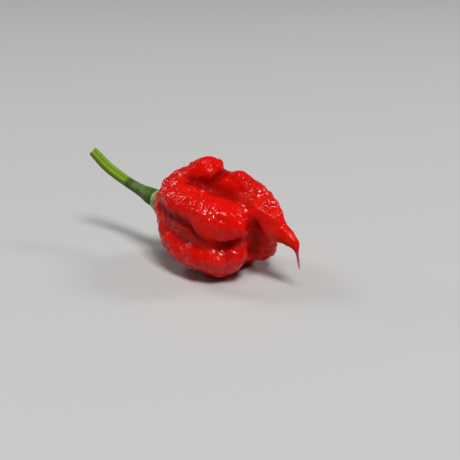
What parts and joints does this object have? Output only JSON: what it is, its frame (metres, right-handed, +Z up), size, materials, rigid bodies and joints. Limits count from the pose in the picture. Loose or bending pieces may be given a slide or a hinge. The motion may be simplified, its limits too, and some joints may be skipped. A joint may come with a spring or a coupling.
{
  "type": "chilli pepper",
  "caption": "Whole ripe red wrinkled chilli pepper lying on its side, with blistered folds, a hooked tail with a thin dry tip, a small calyx and a curved green stem.",
  "frame": {"origin": "the surface the pepper lies on, under the middle of the whole pepper's length and width", "axes": "+X along the fruit from the stem's cut end to the tail, +Z up, the side with the deep long fold faces -Y"},
  "size_m": [0.0786, 0.0328, 0.0345],
  "materials": {
    "pod_skin": "waxy gloss over blistered red skin",
    "calyx_green": "pale yellow-green, satin",
    "stem_green": "fresh green, satin, faintly ribbed"
  },
  "bodies": {
    "root": {"pod": "pod_skin", "calyx": "calyx_green", "stem": "stem_green"}
  },
  "joints": []
}
